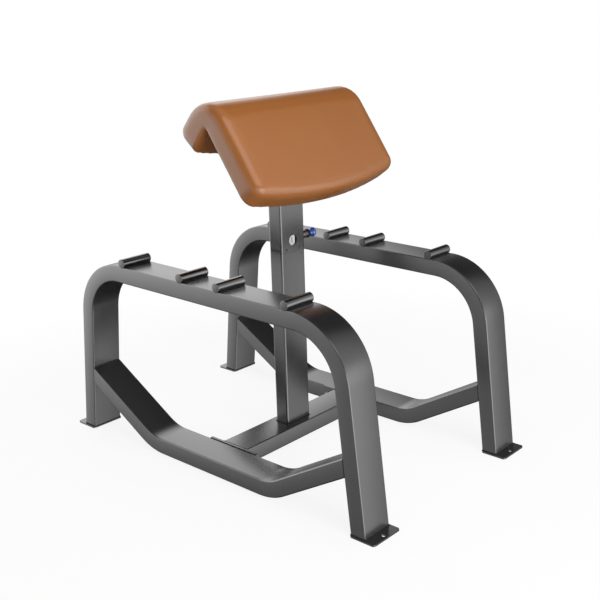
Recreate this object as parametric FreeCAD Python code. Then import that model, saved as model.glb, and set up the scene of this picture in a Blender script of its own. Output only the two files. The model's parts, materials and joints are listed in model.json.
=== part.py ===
import FreeCAD, Part
import math
import os

# Preacher curl bench, millimetres. X runs across the bench, -Y is the front, +Z is up.
# The origin is on the floor, midway between the four feet.

# Frame tube, shared by the arches, the braces, the cross tube and the post
tube_width = 100.0
tube_depth = 50.0
tube_wall = 3.0
tube_corner = 6.0
bend_radius = 165.0

# Side arches
arch_spacing = 622.0
arch_height = 575.0
arch_length = 1180.0
leg_splay = 6.5

# Foot plates
foot_thickness = 5.0
foot_width = 110.0
foot_overhang = 32.0
foot_corner = 8.0
foot_hole = 12.0
foot_hole_edge = 13.0

# Bar stops on top of the arches
stop_diameter = 28.0
stop_flat = 4.0
stop_inner = 75.0
stop_outer = 329.0

# Lower braces
brace_clearance = 8.0
brace_flat = 500.0
brace_slope = 30.0

# Bolted joint between the cross tube and the braces
flange_length = 196.0
flange_thickness = 8.0
flange_proud = 2.0
flange_corner = 4.0
flange_bolt = 12.0
flange_bolt_spacing = 150.0
flange_head = 7.5
flange_head_across = 18.0
flange_nut = 10.0
flange_bolt_past_nut = 3.0

# Telescoping post
seam_height = 605.0
seam_gap = 0.5
inner_width = 80.0
inner_depth = 40.0
inner_wall = 3.0
inner_corner = 4.0
inner_sunk = 160.0
inner_top_clearance = 10.0
spacer_height = 30.0
height_pitch = 20.0
guide_length = 175.0
thread_clearance = 0.4

# Guide bushes pressed into the sleeve
bush_height = 14.0
upper_bush_height = 34.0
bush_running = 0.4
bush_peg = 7.0
bush_peg_spacing = 56.0
bush_peg_rise = 8.0
bush_lug_width = 36.0
bush_lug_height = 9.0
peg_clearance = 0.2

# Window and number strip
window_rise = 34.0
window_diameter = 32.0
strip_width = 25.0
strip_thickness = 0.4
strip_margin = 2.0
strip_side_clearance = 1.0
strip_face_clearance = 0.6

# Pull pin
pin_diameter = 12.0
pin_clearance = 0.4
pin_past_wall = 3.0
pin_tip_chamfer = 1.5
pin_travel = 12.0
housing_diameter = 24.0
housing_bore = 19.0
housing_floor = 4.0
cap_diameter = 27.0
cap_thickness = 8.0
stem_diameter = 8.0
collar_diameter = 18.0
collar_thickness = 3.0
collar_rest = 1.0
spring_pressed = 14.0
spring_wire = 1.6
spring_turns = 4
spring_facets = 8
spring_end_gap = 0.3
knob_diameter = 30.0
knob_neck_diameter = 14.0
knob_neck_length = 4.0
knob_rim = 3.0
knob_dome = 12.0
knob_dome_bands = 3
knob_length = 26.0
knob_gap = 4.0
knob_socket = 14.0

# Pad: an inverted V, measured along its underside
pad_width = 582.0
pad_thickness = 78.0
pad_apex_height = 997.5
pad_apex_setback = 8.5
front_slope = 55.0
rear_slope = 50.0
front_length = 239.0
front_bow = 33.0
rear_length = 91.0
rear_bow = 42.0
ridge_radius = 94.0
edge_radius = 28.0
under_radius = 4.0
front_crown = 5.0
rear_crown = 2.0
end_edge_radius = 6.0
end_under_radius = 4.0
end_crown = 0.2
cover_thickness = 1.5
pad_flat_spans = 3
pad_round_spans = 3

# Plywood boards inside the pad
board_thickness = 15.0
board_inset = 28.0
insert_diameter = 12.0
insert_length = 13.0

# Pad bracket
bracket_width = 220.0
bracket_thickness = 6.0
bracket_front = 190.0
bracket_rear = 58.0
bracket_bend = 9.0
gusset_thickness = 6.0
gusset_spacing = 64.0
gusset_drop = 150.0
pad_bolt = 8.0
pad_bolt_length = 20.0
pad_bolt_head = 5.3
pad_bolt_across = 13.0
pad_bolt_spacing = 170.0
pad_bolt_front = 150.0
pad_bolt_rear = 38.0
washer_diameter = 16.0
washer_thickness = 1.6
bolt_clearance = 1.0

# Values worked out from the sizes above
splay = math.radians(leg_splay)
brace_axis = brace_clearance + tube_depth / 2
brace_top = brace_clearance + tube_depth
arch_inner_face = arch_spacing / 2 - tube_width / 2
flange_face = arch_inner_face - flange_thickness
leg_foot_depth = tube_depth / math.cos(splay)
sleeve_bottom = seam_height + seam_gap
peg_height = sleeve_bottom + bush_peg_rise
window_height = seam_height + window_rise
cavity_width = tube_width - 2 * tube_wall
cavity_depth = tube_depth - 2 * tube_wall
collar_start = housing_floor + collar_rest
housing_length = collar_start + collar_thickness + pin_travel + spring_pressed
knob_start = housing_length + cap_thickness + knob_gap
front_angle = math.radians(front_slope)
rear_angle = math.radians(rear_slope)
pad_half = pad_width / 2
cut_margin = 5.0
X_AXIS = FreeCAD.Vector(1, 0, 0)
Y_AXIS = FreeCAD.Vector(0, 1, 0)
Z_AXIS = FreeCAD.Vector(0, 0, 1)


def block(x0, x1, y0, y1, z0, z1):
    return Part.makeBox(x1 - x0, y1 - y0, z1 - z0, FreeCAD.Vector(x0, y0, z0))


def rod(diameter, length, start, axis):
    return Part.makeCylinder(diameter / 2, length, start, axis)


def hexagon(across, length, start, axis):
    radius = across / math.sqrt(3)
    corners = []
    for i in range(7):
        turn = math.radians(60 * i)
        corners.append(FreeCAD.Vector(radius * math.cos(turn), radius * math.sin(turn), 0))
    prism = Part.Face(Part.makePolygon(corners)).extrude(FreeCAD.Vector(0, 0, length))
    prism.Placement = FreeCAD.Placement(start, FreeCAD.Rotation(Z_AXIS, axis))
    return prism


def along(shape, axis):
    """Straight edges of a shape that run along an axis."""
    return [e for e in shape.Edges if abs(e.tangentAt(e.FirstParameter).dot(axis)) > 0.99]


def section_prism(points, x0, x1):
    """Prism across the bench from an outline of (y, z) points."""
    corners = [FreeCAD.Vector(x0, y, z) for y, z in points]
    face = Part.Face(Part.makePolygon(corners + corners[:1]))
    return face.extrude(FreeCAD.Vector(x1 - x0, 0, 0))


def upright_tube(width, depth, corner, wall, z0, z1):
    """Upright rectangular tube centred on the post's axis."""
    outer = block(-width / 2, width / 2, -depth / 2, depth / 2, z0, z1)
    outer = outer.makeFillet(corner, along(outer, Z_AXIS))
    hollow = block(wall - width / 2, width / 2 - wall, wall - depth / 2, depth / 2 - wall, z0, z1)
    return outer.cut(hollow)


def offset_side(points, radius, offset):
    """Edges of a bent path shifted sideways: straight runs joined by arcs round the bend centres."""
    path = [FreeCAD.Vector(0, y, z) for y, z in points]
    start = None
    edges = []
    last_turn_end = None
    for i in range(len(path) - 1):
        run = (path[i + 1] - path[i]).normalize()
        side = X_AXIS.cross(run) * offset
        begin = last_turn_end or path[i] + side
        start = start or begin
        if i + 2 == len(path):
            edges.append(Part.LineSegment(begin, path[i + 1] + side).toShape())
            break
        following = (path[i + 2] - path[i + 1]).normalize()
        turn = run.getAngle(following)
        handed = 1 if run.cross(following).x > 0 else -1
        tangent = radius * math.tan(turn / 2)
        first = path[i + 1] - run * tangent
        last = path[i + 1] + following * tangent
        centre = first + X_AXIS.cross(run) * (handed * radius)
        middle_dir = (path[i + 1] - centre).normalize()
        arc_radius = radius - handed * offset
        arc_begin = first + side
        arc_end = last + X_AXIS.cross(following) * offset
        edges.append(Part.LineSegment(begin, arc_begin).toShape())
        edges.append(Part.Arc(arc_begin, centre + middle_dir * arc_radius, arc_end).toShape())
        last_turn_end = arc_end
    return edges, start, edges[-1].Vertexes[-1].Point


def bent_bar(points, radius, depth, width, corner):
    """Solid bar along a bent path in the Y-Z plane, centred on X = 0. Its long edges have a flat that touches
    a rounding of the corner's radius."""
    left, left_start, left_end = offset_side(points, radius, depth / 2)
    right, right_start, right_end = offset_side(points, radius, -depth / 2)
    end_cap = Part.LineSegment(left_end, right_end).toShape()
    start_cap = Part.LineSegment(right_start, left_start).toShape()
    outline = Part.Wire(Part.__sortEdges__(left + right + [end_cap, start_cap]))
    bar = Part.Face(outline).extrude(FreeCAD.Vector(width, 0, 0))
    bar.translate(FreeCAD.Vector(-width / 2, 0, 0))
    if corner == 0:
        return bar
    cap_middles = [(left_end + right_end) / 2, (left_start + right_start) / 2]
    long_edges = []
    for edge in bar.Edges:
        middle = edge.valueAt((edge.FirstParameter + edge.LastParameter) / 2)
        flat = FreeCAD.Vector(0, middle.y, middle.z)
        on_side = abs(abs(middle.x) - width / 2) < 0.001
        if on_side and min(flat.distanceToPoint(c) for c in cap_middles) > 0.001:
            long_edges.append(edge)
    return bar.makeChamfer(corner * (2 - math.sqrt(2)), long_edges)


def bent_tube(points, radius):
    outer = bent_bar(points, radius, tube_depth, tube_width, tube_corner)
    hollow = bent_bar(points, radius, tube_depth - 2 * tube_wall, tube_width - 2 * tube_wall, 0)
    return outer.cut(hollow)


def leg_axis(height):
    """Distance of a leg's centre line from the bench's middle at a height."""
    return arch_length / 2 - leg_foot_depth / 2 - height * math.tan(splay)


def leg_inside(height):
    """Distance of a leg's inner face from the bench's middle at a height."""
    return leg_axis(height) - leg_foot_depth / 2


def side_arch():
    axis_height = arch_height - tube_depth / 2
    below = -tube_depth
    points = [
        (-leg_axis(below), below),
        (-leg_axis(axis_height), axis_height),
        (leg_axis(axis_height), axis_height),
        (leg_axis(below), below),
    ]
    tube = bent_tube(points, bend_radius)
    reach = arch_length
    return tube.common(block(-reach, reach, -reach, reach, foot_thickness, arch_height + cut_margin))


def lower_brace():
    rise = math.tan(math.radians(brace_slope))
    reach = arch_length / 2
    corner = brace_flat / 2
    high = brace_axis + (reach - corner) * rise
    points = [(-reach, high), (-corner, brace_axis), (corner, brace_axis), (reach, high)]
    tube = bent_tube(points, bend_radius)
    top = arch_height
    between = [(-leg_inside(0), 0), (leg_inside(0), 0), (leg_inside(top), top), (-leg_inside(top), top)]
    brace = tube.common(section_prism(between, -tube_width, tube_width))
    hole = flange_bolt + bolt_clearance
    for y in (-flange_bolt_spacing / 2, flange_bolt_spacing / 2):
        start = FreeCAD.Vector(tube_width / 2 - tube_wall - cut_margin, y, brace_axis)
        brace = brace.cut(rod(hole, tube_wall + 2 * cut_margin, start, X_AXIS))
    return brace


def foot_plate():
    """Front foot plate of an arch on X = 0; the anchor hole is in the part that sticks out."""
    outer = -(arch_length / 2 + foot_overhang)
    plate = block(-foot_width / 2, foot_width / 2, outer, -leg_inside(foot_thickness), 0, foot_thickness)
    plate = plate.makeFillet(foot_corner, along(plate, Z_AXIS))
    return plate.cut(rod(foot_hole, foot_thickness, FreeCAD.Vector(0, outer + foot_hole_edge, 0), Z_AXIS))


def bar_stop(y):
    """Short round bar across an arch on X = 0, with a flat that seats on the tube."""
    axis_height = arch_height + stop_diameter / 2 - stop_flat
    bar = rod(stop_diameter, tube_width, FreeCAD.Vector(-tube_width / 2, y, axis_height), X_AXIS)
    keep = block(-tube_width, tube_width, y - stop_diameter, y + stop_diameter,
                 arch_height, arch_height + stop_diameter)
    return bar.common(keep)


def cross_tube():
    tube = block(-flange_face, flange_face, -tube_width / 2, tube_width / 2, brace_clearance, brace_top)
    tube = tube.makeFillet(tube_corner, along(tube, X_AXIS))
    hollow = block(-flange_face, flange_face, -cavity_width / 2, cavity_width / 2,
                   brace_clearance + tube_wall, brace_top - tube_wall)
    return tube.cut(hollow)


def flange():
    """Right-hand flange plate, welded to the cross tube and bolted to the brace."""
    plate = block(flange_face, arch_inner_face, -flange_length / 2, flange_length / 2,
                  brace_clearance - flange_proud, brace_top + flange_proud)
    plate = plate.makeFillet(flange_corner, along(plate, X_AXIS))
    for y in (-flange_bolt_spacing / 2, flange_bolt_spacing / 2):
        start = FreeCAD.Vector(flange_face, y, brace_axis)
        plate = plate.cut(rod(flange_bolt + bolt_clearance, flange_thickness, start, X_AXIS))
    return plate


def flange_bolts():
    """Two hexagon bolts of the right-hand flange, heads on the cross tube's side."""
    bolts = []
    for y in (-flange_bolt_spacing / 2, flange_bolt_spacing / 2):
        seat = FreeCAD.Vector(flange_face, y, brace_axis)
        head = hexagon(flange_head_across, flange_head, seat - X_AXIS * flange_head, X_AXIS)
        grip = flange_thickness + tube_wall + flange_nut + flange_bolt_past_nut
        bolts.append(head.fuse(rod(flange_bolt, grip, seat, X_AXIS)))
    return bolts


def flange_nuts():
    """Two nuts welded inside the right-hand brace."""
    nuts = []
    for y in (-flange_bolt_spacing / 2, flange_bolt_spacing / 2):
        seat = FreeCAD.Vector(arch_inner_face + tube_wall, y, brace_axis)
        nut = hexagon(flange_head_across, flange_nut, seat, X_AXIS)
        nuts.append(nut.cut(rod(flange_bolt + thread_clearance, flange_nut, seat, X_AXIS)))
    return nuts


def lower_post():
    return upright_tube(tube_width, tube_depth, tube_corner, tube_wall, brace_top, seam_height)


def bracket_underside(y):
    """Height of the bracket's underside above a point of the post."""
    setback = y - pad_apex_setback
    front = (setback * math.sin(front_angle) - bracket_thickness) / math.cos(front_angle)
    rear = (-setback * math.sin(rear_angle) - bracket_thickness) / math.cos(rear_angle)
    return pad_apex_height + min(front, rear)


def inner_top():
    return min(bracket_underside(-inner_depth / 2), bracket_underside(inner_depth / 2)) - inner_top_clearance


def height_steps():
    """Settings above the lowest one that still leave the guide length between the two bushes."""
    room = inner_top() - upper_bush_height - guide_length - sleeve_bottom
    return max(0, int(room // height_pitch))


def stroke():
    return height_pitch * height_steps()


def inner_tube():
    bottom = seam_height - inner_sunk
    tube = upright_tube(inner_width, inner_depth, inner_corner, inner_wall, bottom, inner_top())
    for i in range(height_steps() + 1):
        start = FreeCAD.Vector(0, 0, window_height + i * height_pitch)
        tube = tube.cut(rod(pin_diameter + 2 * pin_clearance, inner_width, start, X_AXIS))
    return tube


def spacer(z0):
    """Ring that fills the room between the inner tube and the lower post."""
    z1 = z0 + spacer_height
    ring = block(-cavity_width / 2, cavity_width / 2, -cavity_depth / 2, cavity_depth / 2, z0, z1)
    return ring.cut(block(-inner_width / 2, inner_width / 2, -inner_depth / 2, inner_depth / 2, z0, z1))


def number_strip():
    z0 = window_height - window_diameter / 2 - strip_margin
    z1 = window_height + stroke() + window_diameter / 2 + strip_margin
    face = -inner_depth / 2
    return block(-strip_width / 2, strip_width / 2, face - strip_thickness, face, z0, z1)


def upper_bush_bottom():
    return inner_top() - stroke() - upper_bush_height


def guide_bush(z0, height):
    """Plastic bush in the sleeve, running on the inner tube, with a groove that clears the number strip."""
    bush = block(-cavity_width / 2, cavity_width / 2, -cavity_depth / 2, cavity_depth / 2, z0, z0 + height)
    run_x = inner_width / 2 + bush_running
    run_y = inner_depth / 2 + bush_running
    bush = bush.cut(block(-run_x, run_x, -run_y, run_y, z0, z0 + height))
    groove_x = strip_width / 2 + strip_side_clearance
    groove_y = inner_depth / 2 + strip_thickness + strip_face_clearance
    return bush.cut(block(-groove_x, groove_x, -groove_y, 0, z0, z0 + height))


def peg_starts():
    return [FreeCAD.Vector(x, 0, peg_height) for x in (-bush_peg_spacing / 2, bush_peg_spacing / 2)]


def lug_block(extra):
    half_y = bush_lug_width / 2 + extra
    half_z = bush_lug_height / 2 + extra
    half_x = tube_width / 2
    return block(-half_x, half_x, -half_y, half_y, peg_height - half_z, peg_height + half_z)


def lower_bush():
    """Lower bush, held by two pegs in each wide wall and one lug in each narrow wall."""
    bush = guide_bush(sleeve_bottom, bush_height)
    for start in peg_starts():
        for direction in (Y_AXIS, -Y_AXIS):
            peg = rod(bush_peg, tube_wall, start + direction * (cavity_depth / 2), direction)
            bush = bush.fuse(peg)
    cavity = block(-cavity_width / 2, cavity_width / 2, -tube_depth, tube_depth, 0, pad_apex_height)
    return bush.fuse(lug_block(0).cut(cavity))


def upper_sleeve():
    top = pad_apex_height
    tube = upright_tube(tube_width, tube_depth, tube_corner, tube_wall, sleeve_bottom, top)
    back = tube_depth
    ridge = ridge_underside()
    under = [(-back, sleeve_bottom), (back, sleeve_bottom), (back, bracket_underside(back)), ridge,
             (-back, bracket_underside(-back))]
    tube = tube.common(section_prism(under, -tube_width, tube_width))
    tube = tube.cut(rod(window_diameter, tube_depth, FreeCAD.Vector(0, 0, window_height), -Y_AXIS))
    for start in peg_starts():
        long_peg = rod(bush_peg + 2 * peg_clearance, 2 * tube_depth, start - Y_AXIS * tube_depth, Y_AXIS)
        tube = tube.cut(long_peg)
    tube = tube.cut(lug_block(peg_clearance))
    pin_hole = rod(pin_diameter + 2 * pin_clearance, tube_width, FreeCAD.Vector(0, 0, window_height), X_AXIS)
    return tube.cut(pin_hole)


def ridge_underside():
    """Point (y, z) where the bracket's two undersides meet."""
    front_rise = math.tan(front_angle)
    rear_rise = math.tan(rear_angle)
    front_drop = bracket_thickness / math.cos(front_angle)
    rear_drop = bracket_thickness / math.cos(rear_angle)
    shift = (front_drop - rear_drop) / (front_rise + rear_rise)
    return pad_apex_setback + shift, pad_apex_height - front_drop + shift * front_rise


def pin_at(distance):
    """Point on the pull pin's axis, a distance out from the sleeve's side."""
    return FreeCAD.Vector(tube_width / 2 + distance, 0, window_height)


def pin_housing():
    barrel = rod(housing_diameter, housing_length, pin_at(0), X_AXIS)
    barrel = barrel.cut(rod(pin_diameter + 2 * pin_clearance, housing_floor, pin_at(0), X_AXIS))
    return barrel.cut(rod(housing_bore, housing_length - housing_floor, pin_at(housing_floor), X_AXIS))


def pin_cap():
    cap = rod(cap_diameter, cap_thickness, pin_at(housing_length), X_AXIS)
    return cap.cut(rod(stem_diameter + 2 * pin_clearance, cap_thickness, pin_at(housing_length), X_AXIS))


def pin_plunger():
    tip = -(tube_width - inner_width) / 2 - inner_wall - pin_past_wall
    pin = rod(pin_diameter, collar_start - tip, pin_at(tip), X_AXIS)
    rims = [e for e in pin.Edges if abs(e.Length - math.pi * pin_diameter) < 0.01]
    tip_rim = min(rims, key=lambda e: e.CenterOfMass.x)
    pin = pin.makeChamfer(pin_tip_chamfer, [tip_rim])
    collar = rod(collar_diameter, collar_thickness, pin_at(collar_start), X_AXIS)
    stem_length = knob_start + knob_socket - collar_start
    stem = rod(stem_diameter, stem_length, pin_at(collar_start), X_AXIS)
    return pin.fuse([collar, stem])


def spring_section(radius, distance, turn):
    """Square section of the spring's wire at a turn about the pin's axis."""
    half = spring_wire / 2
    outward = FreeCAD.Vector(0, math.cos(turn), math.sin(turn))
    corners = []
    for side, end in ((-half, -half), (half, -half), (half, half), (-half, half)):
        corners.append(pin_at(distance + end) + outward * (radius + side))
    return Part.makePolygon(corners + corners[:1])


def pin_spring():
    """Compression spring of square wire, round the stem between the plunger's collar and the cap."""
    first = collar_start + collar_thickness + spring_end_gap + spring_wire / 2
    last = housing_length - spring_end_gap - spring_wire / 2
    radius = (housing_bore + stem_diameter) / 4
    steps = spring_turns * spring_facets
    sections = []
    for i in range(steps + 1):
        turn = 2 * math.pi * i / spring_facets
        sections.append(spring_section(radius, first + (last - first) * i / steps, turn))
    print("spring: gap between turns %.2f mm" % ((last - first) / spring_turns - spring_wire))
    return Part.makeLoft(sections, True, True)


def pin_knob():
    """Pull knob turned about the pin's axis: a neck, a flare, a rim and a banded dome with a flat end."""
    neck = knob_neck_diameter / 2
    ball = knob_diameter / 2
    socket = stem_diameter / 2
    band = math.pi / 2 / knob_dome_bands
    dome_start = knob_length - knob_dome * math.cos(band)
    outline = [(0, socket), (knob_socket, socket), (knob_socket, 0), (knob_length, 0)]
    for i in range(1, knob_dome_bands + 1):
        outline.append((dome_start + knob_dome * math.cos(i * band), ball * math.sin(i * band)))
    outline += [(dome_start - knob_rim, ball), (knob_neck_length, neck), (0, neck)]
    points = [FreeCAD.Vector(x, 0, z) for x, z in outline]
    knob = Part.Face(Part.makePolygon(points + points[:1])).revolve(FreeCAD.Vector(0, 0, 0), X_AXIS, 360)
    knob.translate(pin_at(knob_start))
    return knob


def slope_frame(slope):
    """Placement at the pad's apex, with z out of the slope and y running up the front or down the rear."""
    apex = FreeCAD.Vector(0, pad_apex_setback, pad_apex_height)
    turn = front_slope if slope == "front" else -rear_slope
    return FreeCAD.Placement(apex, FreeCAD.Rotation(X_AXIS, turn))


def on_slope(shape, slope):
    shape.Placement = slope_frame(slope).multiply(shape.Placement)
    return shape


def down(slope, distance):
    """Local y of a point a distance down the slope from the apex."""
    return -distance if slope == "front" else distance


def pad_bolt_points():
    points = []
    for slope, distance in (("front", pad_bolt_front), ("rear", pad_bolt_rear)):
        for x in (-pad_bolt_spacing / 2, pad_bolt_spacing / 2):
            points.append((slope, FreeCAD.Vector(x, down(slope, distance), 0)))
    return points


def board_block(slope, bottom):
    """Room of a board inside the pad, from a height out of the underside to the board's top."""
    length = front_length if slope == "front" else rear_length
    half = pad_half - board_inset
    ends = sorted([0, down(slope, length - board_inset)])
    return on_slope(block(-half, half, ends[0], ends[1], bottom, board_thickness), slope)


def pad_board(slope):
    board = board_block(slope, 0)
    for where, point in pad_bolt_points():
        if where == slope:
            board = board.cut(on_slope(rod(insert_diameter, board_thickness, point, Z_AXIS), slope))
    return board


def threaded_inserts():
    inserts = []
    for slope, point in pad_bolt_points():
        body = rod(insert_diameter, insert_length, point, Z_AXIS)
        body = body.cut(rod(pad_bolt + thread_clearance, insert_length, point, Z_AXIS))
        inserts.append(on_slope(body, slope))
    return inserts


def pad_bolts():
    bolts = []
    for slope, point in pad_bolt_points():
        seat = point - Z_AXIS * (bracket_thickness + washer_thickness)
        head = hexagon(pad_bolt_across, pad_bolt_head, seat - Z_AXIS * pad_bolt_head, Z_AXIS)
        shank = rod(pad_bolt, pad_bolt_length, seat, Z_AXIS)
        bolts.append(on_slope(head.fuse(shank), slope))
    return bolts


def pad_washers():
    washers = []
    for slope, point in pad_bolt_points():
        seat = point - Z_AXIS * (bracket_thickness + washer_thickness)
        ring = rod(washer_diameter, washer_thickness, seat, Z_AXIS)
        ring = ring.cut(rod(pad_bolt + thread_clearance, washer_thickness, seat, Z_AXIS))
        washers.append(on_slope(ring, slope))
    return washers


def slope_axes(slope):
    """Directions (y, z) down a slope and out of it."""
    side, angle = (-1, front_angle) if slope == "front" else (1, rear_angle)
    return (side * math.cos(angle), -math.sin(angle)), (side * math.sin(angle), math.cos(angle))


def slope_point(slope, distance, height):
    """Point (y, z) a distance down a slope and a height out of the pad's underside."""
    along, out = slope_axes(slope)
    y = pad_apex_setback + along[0] * distance + out[0] * height
    z = pad_apex_height + along[1] * distance + out[1] * height
    return y, z


def pad_bracket():
    """Bent plate under the pad, on top of the sleeve."""
    outline = [
        slope_point("front", bracket_front, 0),
        (pad_apex_setback, pad_apex_height),
        slope_point("rear", bracket_rear, 0),
        slope_point("rear", bracket_rear, -bracket_thickness),
        ridge_underside(),
        slope_point("front", bracket_front, -bracket_thickness),
    ]
    plate = section_prism(outline, -bracket_width / 2, bracket_width / 2)
    apex = FreeCAD.Vector(0, pad_apex_setback, pad_apex_height)
    ridge = [e for e in plate.Edges if e.CenterOfMass.distanceToPoint(apex) < 0.001]
    plate = plate.makeFillet(bracket_bend, ridge)
    for slope, point in pad_bolt_points():
        seat = point - Z_AXIS * bracket_thickness
        hole = rod(pad_bolt + bolt_clearance, bracket_thickness, seat, Z_AXIS)
        plate = plate.cut(on_slope(hole, slope))
    return plate


def bracket_gusset(side):
    """Triangular plate between the sleeve's front and the bracket's front leg."""
    face = -tube_depth / 2
    top = bracket_underside(face)
    foot = top - gusset_drop
    toe = face - (gusset_drop / 2) / math.tan(front_angle)
    x = side * gusset_spacing / 2
    outline = [(face, top), (face, foot), (toe, bracket_underside(toe))]
    return section_prism(outline, x - gusset_thickness / 2, x + gusset_thickness / 2)


def corner_arc(corner, before, after, radius):
    """Ends and middle of an arc that rounds a corner between two neighbouring points."""
    to_before = (before - corner).normalize()
    to_after = (after - corner).normalize()
    half = to_before.getAngle(to_after) / 2
    tangent = radius / math.tan(half)
    bisector = (to_before + to_after).normalize()
    middle = corner + bisector * (radius / math.sin(half) - radius)
    return corner + to_before * tangent, middle, corner + to_after * tangent


def bulged_edge(start, end, bulge, out):
    middle = (start + end) / 2 + FreeCAD.Vector(0, out[0], out[1]) * bulge
    return Part.Arc(start, middle, end).toShape()


def pad_section(x, shrink, inset):
    """Closed section of the pad at X = x, set in all round. The shrink, 0 to 1, rounds the pad's ends off."""
    middle = 1 - (x / pad_half) ** 2
    outer_in = edge_radius * shrink + inset * (1 - shrink)
    under_in = under_radius * shrink + inset * (1 - shrink)
    edge = edge_radius + (end_edge_radius - edge_radius) * shrink - inset
    under = under_radius + (end_under_radius - under_radius) * shrink - inset
    front_end = front_length + front_bow * middle - outer_in
    rear_end = rear_length + rear_bow * middle - outer_in
    top = pad_thickness - outer_in

    def point(slope, distance, height):
        y, z = slope_point(slope, distance, height)
        return FreeCAD.Vector(x, y, z)

    def meet(height):
        half = (front_angle + rear_angle) / 2
        tilt = (front_angle - rear_angle) / 2
        reach = height / math.cos(half)
        y = pad_apex_setback - reach * math.sin(tilt)
        return FreeCAD.Vector(x, y, pad_apex_height + reach * math.cos(tilt))

    apex = meet(under_in)
    ridge = meet(top)
    front_under = point("front", front_end, under_in)
    front_top = point("front", front_end, top)
    rear_top = point("rear", rear_end, top)
    rear_under = point("rear", rear_end, under_in)
    a = corner_arc(front_under, apex, front_top, under)
    b = corner_arc(front_top, front_under, ridge, edge)
    c = corner_arc(ridge, front_top, rear_top, ridge_radius - outer_in)
    d = corner_arc(rear_top, ridge, rear_under, edge)
    e = corner_arc(rear_under, rear_top, apex, under)
    edges = [
        Part.LineSegment(apex, a[0]).toShape(),
        Part.Arc(*a).toShape(),
        Part.LineSegment(a[2], b[0]).toShape(),
        Part.Arc(*b).toShape(),
        bulged_edge(b[2], c[0], end_crown + front_crown * middle, slope_axes("front")[1]),
        Part.Arc(*c).toShape(),
        bulged_edge(c[2], d[0], end_crown + rear_crown * middle, slope_axes("rear")[1]),
        Part.Arc(*d).toShape(),
        Part.LineSegment(d[2], e[0]).toShape(),
        Part.Arc(*e).toShape(),
        Part.LineSegment(e[2], apex).toShape(),
    ]
    return Part.Wire(edges)


def pad_form(inset):
    """The pad's whole form, set in all round: one loft from end to end."""
    flat_half = pad_half - edge_radius
    stations = [(flat_half * i / pad_flat_spans, 0.0) for i in range(pad_flat_spans + 1)]
    for i in range(pad_round_spans):
        turn = math.pi / 2 * (i + 1) / pad_round_spans
        stations.append((flat_half + (edge_radius - inset) * math.sin(turn), 1 - math.cos(turn)))
    left = [(-x, shrink) for x, shrink in reversed(stations[1:])]
    return Part.makeLoft([pad_section(x, shrink, inset) for x, shrink in left + stations], True, True)


def without_boards(pad):
    for slope in ("front", "rear"):
        pad = pad.cut(board_block(slope, -cut_margin))
    return pad


def pad_foam():
    return without_boards(pad_form(cover_thickness))


def pad_cover():
    """Vinyl skin round the foam, open underneath where the boards lie."""
    return without_boards(pad_form(0).cut(pad_form(cover_thickness)))


def flipped(shape, axis):
    """Mirror image across the plane through the origin that faces along an axis."""
    return shape.mirror(FreeCAD.Vector(0, 0, 0), axis)


def moved(shape, x):
    copy = shape.copy()
    copy.translate(FreeCAD.Vector(x, 0, 0))
    return copy


def frame_parts():
    parts = {}
    arch = side_arch()
    brace = lower_brace()
    plate = foot_plate()
    for side, sign in (("left", -1), ("right", 1)):
        x = sign * arch_spacing / 2
        parts[side + "_arch"] = moved(arch, x)
        parts[side + "_brace"] = moved(brace if sign < 0 else flipped(brace, X_AXIS), x)
        parts[side + "_front_foot"] = moved(plate, x)
        parts[side + "_rear_foot"] = moved(flipped(plate, Y_AXIS), x)
        for number, y in enumerate((-stop_outer, -stop_inner, stop_inner, stop_outer), 1):
            parts["%s_bar_stop_%d" % (side, number)] = moved(bar_stop(y), x)
    parts["cross_tube"] = cross_tube()
    parts["right_flange"] = flange()
    parts["left_flange"] = flipped(flange(), X_AXIS)
    bolts = flange_bolts()
    nuts = flange_nuts()
    parts["flange_bolts"] = Part.makeCompound(bolts + [flipped(bolt, X_AXIS) for bolt in bolts])
    parts["flange_nuts"] = Part.makeCompound(nuts + [flipped(nut, X_AXIS) for nut in nuts])
    parts["lower_post"] = lower_post()
    parts["inner_tube"] = inner_tube()
    parts["upper_spacer"] = spacer(seam_height - spacer_height)
    parts["lower_spacer"] = spacer(seam_height - inner_sunk)
    parts["number_strip"] = number_strip()
    return parts


def carriage_parts():
    parts = {
        "upper_sleeve": upper_sleeve(),
        "lower_guide_bush": lower_bush(),
        "upper_guide_bush": guide_bush(upper_bush_bottom(), upper_bush_height),
        "pin_housing": pin_housing(),
        "pin_cap": pin_cap(),
        "pin_spring": pin_spring(),
        "pad_bracket": pad_bracket(),
        "left_bracket_gusset": bracket_gusset(-1),
        "right_bracket_gusset": bracket_gusset(1),
        "pad_washers": Part.makeCompound(pad_washers()),
        "pad_bolts": Part.makeCompound(pad_bolts()),
        "threaded_inserts": Part.makeCompound(threaded_inserts()),
        "front_pad_board": pad_board("front"),
        "rear_pad_board": pad_board("rear"),
        "pad_foam": pad_foam(),
        "pad_cover": pad_cover(),
    }
    return parts


def pin_parts():
    return {"pin_plunger": pin_plunger(), "pin_knob": pin_knob()}


def main():
    os.makedirs("parts", exist_ok=True)
    parts = {**frame_parts(), **carriage_parts(), **pin_parts()}
    for node, shape in parts.items():
        shape.exportStep("parts/%s.step" % node)
    print("%d nodes written" % len(parts))


main()
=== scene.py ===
import bpy
import json
import math
import numpy as np
from mathutils import Matrix, Vector


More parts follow.
